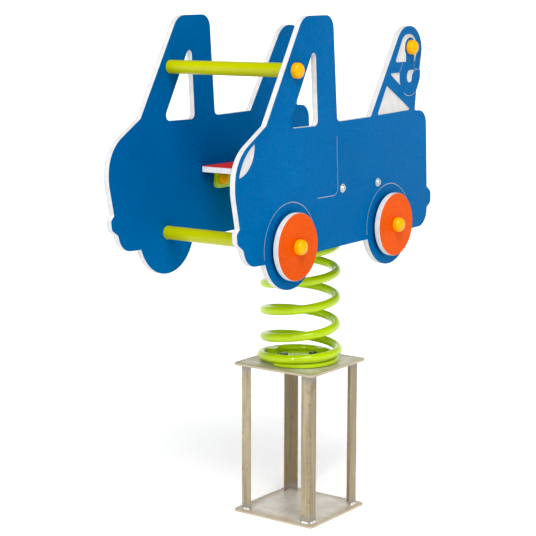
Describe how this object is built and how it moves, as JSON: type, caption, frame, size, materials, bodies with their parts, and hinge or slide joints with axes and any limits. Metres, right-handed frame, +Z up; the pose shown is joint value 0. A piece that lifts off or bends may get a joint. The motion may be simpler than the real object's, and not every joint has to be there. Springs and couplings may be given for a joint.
{
  "type": "spring rocker",
  "caption": "Play rocker shaped as a small tow truck: two sheet side panels with a seat, handlebar and footrest between them, on a coil spring with a steel ground anchor.",
  "frame": {"origin": "centre of the underside of the anchor's base plate, on the spring's axis", "axes": "+X towards the front of the truck, +Y towards its left side, +Z up along the spring"},
  "size_m": [0.8525, 0.477, 1.2894],
  "materials": {
    "anchor_steel": "mill-finish galvanised, brownish grey, matt",
    "weld": "bright weld beads",
    "powder_lime": "glossy powder coat, lime green",
    "zinc": "zinc plated",
    "cap_yellow": "glossy moulded nylon, yellow",
    "sheet_red": "pebbled polyethylene sheet, red skin over a white core",
    "sheet_orange": "pebbled polyethylene sheet, orange skin over a white core",
    "bush_white": "turned nylon",
    "sheet_blue": "pebbled polyethylene sheet, blue skin over a white core"
  },
  "bodies": {
    "root": {"anchor_base_plate": "anchor_steel", "anchor_top_plate": "anchor_steel", "anchor_leg_front_left": "anchor_steel", "anchor_leg_front_right": "anchor_steel", "anchor_leg_rear_left": "anchor_steel", "anchor_leg_rear_right": "anchor_steel", "anchor_welds": "weld", "lower_spring_clamp": "powder_lime", "lower_clamp_bolts": "zinc", "lower_clamp_nuts": "zinc", "spring_foot_turns": "powder_lime"},
    "spring_low": {"spring_lower_turns": "powder_lime"},
    "spring_mid": {"spring_middle_turns": "powder_lime"},
    "spring_high": {"spring_top_turns": "powder_lime"},
    "rocker": {"upper_spring_clamp": "powder_lime", "seat_frame": "powder_lime", "handlebar_tube": "powder_lime", "footrest_tube": "powder_lime", "upper_clamp_studs": "zinc", "upper_clamp_nuts": "zinc", "frame_bolts": "zinc", "frame_bolt_washers": "zinc", "frame_nuts": "zinc", "seat_screws": "zinc", "tube_end_plugs": "zinc", "handlebar_bolts": "zinc", "front_wheel_bolts": "zinc", "rear_wheel_bolts": "zinc", "rear_wheel_nuts": "zinc", "jib_bolts": "zinc", "jib_nuts": "zinc", "frame_nut_seats": "cap_yellow", "frame_nut_caps": "cap_yellow", "handlebar_cap_seats": "cap_yellow", "handlebar_caps": "cap_yellow", "wheel_cap_seats": "cap_yellow", "wheel_caps": "cap_yellow", "jib_cap_seats": "cap_yellow", "jib_caps": "cap_yellow", "seat_board": "sheet_red", "wheel_bushes": "bush_white", "left_side_panel": "sheet_blue", "right_side_panel": "sheet_blue"},
    "front_left_wheel": {"front_left_wheel": "sheet_orange"},
    "front_right_wheel": {"front_right_wheel": "sheet_orange"},
    "rear_left_wheel": {"rear_left_wheel": "sheet_orange"},
    "rear_right_wheel": {"rear_right_wheel": "sheet_orange"}
  },
  "joints": [
    {"name": "bounce", "type": "slide", "parent": "root", "child": "spring_low", "axis": [0, 0, 1], "range_m": [-0.04, 0.015], "stiffness_N_per_m": 60000, "springref_m": 0.00529, "deforming": ["spring_foot_turns"]},
    {"name": "rock_fore_aft", "type": "hinge", "parent": "spring_low", "child": "spring_mid", "pos_m": [0, 0, 0.615], "axis": [0, 1, 0], "range_deg": [-20, 20], "stiffness_Nm_per_rad": 585, "springref_deg": -1.89, "deforming": ["spring_lower_turns"]},
    {"name": "rock_side", "type": "hinge", "parent": "spring_mid", "child": "spring_high", "pos_m": [0, 0, 0.745], "axis": [1, 0, 0], "range_deg": [-12, 12], "stiffness_Nm_per_rad": 585, "deforming": ["spring_middle_turns"]},
    {"name": "twist", "type": "hinge", "parent": "spring_high", "child": "rocker", "pos_m": [0, 0, 0.845], "axis": [0, 0, 1], "range_deg": [-6, 6], "stiffness_Nm_per_rad": 675, "deforming": ["spring_top_turns"]},
    {"name": "front_left_wheel_spin", "type": "hinge", "parent": "rocker", "child": "front_left_wheel", "pos_m": [0.318, 0.209, 0.758], "axis": [0, 1, 0], "continuous": true},
    {"name": "front_right_wheel_spin", "type": "hinge", "parent": "rocker", "child": "front_right_wheel", "pos_m": [0.318, -0.209, 0.758], "axis": [0, 1, 0], "continuous": true},
    {"name": "rear_left_wheel_spin", "type": "hinge", "parent": "rocker", "child": "rear_left_wheel", "pos_m": [-0.115, 0.209, 0.763], "axis": [0, 1, 0], "continuous": true},
    {"name": "rear_right_wheel_spin", "type": "hinge", "parent": "rocker", "child": "rear_right_wheel", "pos_m": [-0.115, -0.209, 0.763], "axis": [0, 1, 0], "continuous": true}
  ]
}
